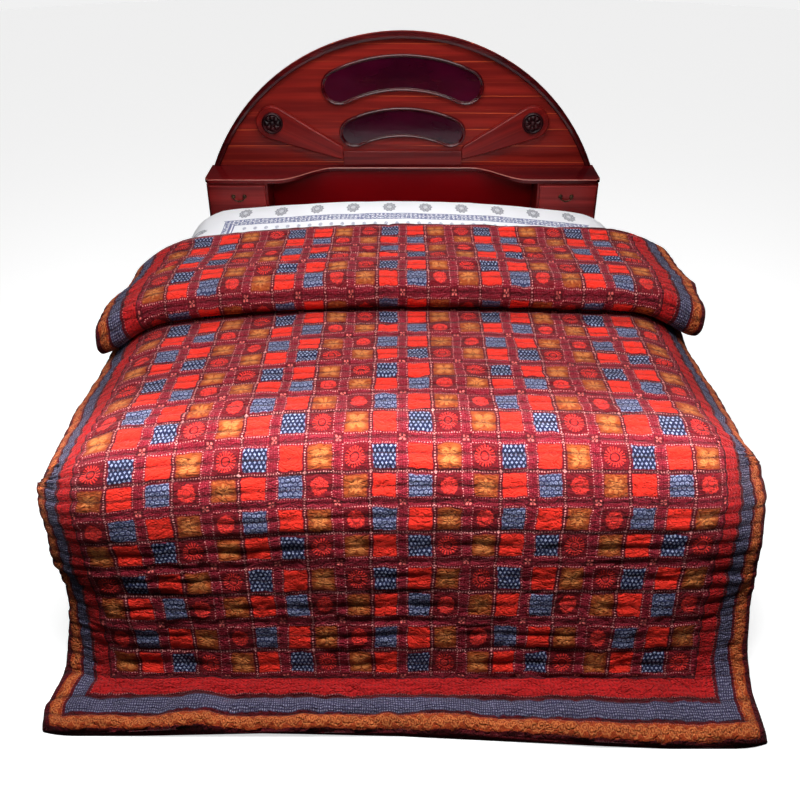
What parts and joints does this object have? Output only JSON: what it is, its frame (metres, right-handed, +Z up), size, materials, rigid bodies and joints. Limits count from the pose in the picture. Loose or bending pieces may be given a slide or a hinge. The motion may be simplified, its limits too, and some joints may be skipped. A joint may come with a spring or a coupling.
{
  "type": "comforter on a bed, with its mattress, base and headboard",
  "caption": "Quilted block-print comforter laid over a bed, folded once near the head and falling to the floor at the foot, on a mattress and base with an arched headboard",
  "frame": {"origin": "on the floor at the middle of the footprint", "axes": "+Y from the foot of the bed to its headboard, the longest extent; +X to the right seen from the foot; +Z up"},
  "size_m": [2.2231, 2.809, 1.445],
  "materials": {
    "block_print_cotton": "printed, matte",
    "white_printed_cotton": "printed, matte",
    "mahogany": "satin lacquer",
    "dark_wood": "gloss lacquer",
    "gloss_inset": "high gloss",
    "red_panel": "gloss lacquer",
    "bronze": "dark antique"
  },
  "bodies": {
    "root": {"comforter": "block_print_cotton", "mattress": "white_printed_cotton", "bed_base": "mahogany", "headboard_panel": "mahogany", "headboard_rim": "dark_wood", "inset_upper_frame": "dark_wood", "inset_upper_panel": "gloss_inset", "inset_lower_frame": "dark_wood", "inset_lower_panel": "gloss_inset", "shelf": "dark_wood", "centre_panel": "red_panel", "centre_block": "mahogany", "wing_left": "mahogany", "rosette_left": "dark_wood", "cabinet_left": "mahogany", "drawer_left": "dark_wood", "handle_left": "bronze", "wing_right": "mahogany", "rosette_right": "dark_wood", "cabinet_right": "mahogany", "drawer_right": "dark_wood", "handle_right": "bronze"}
  },
  "joints": []
}
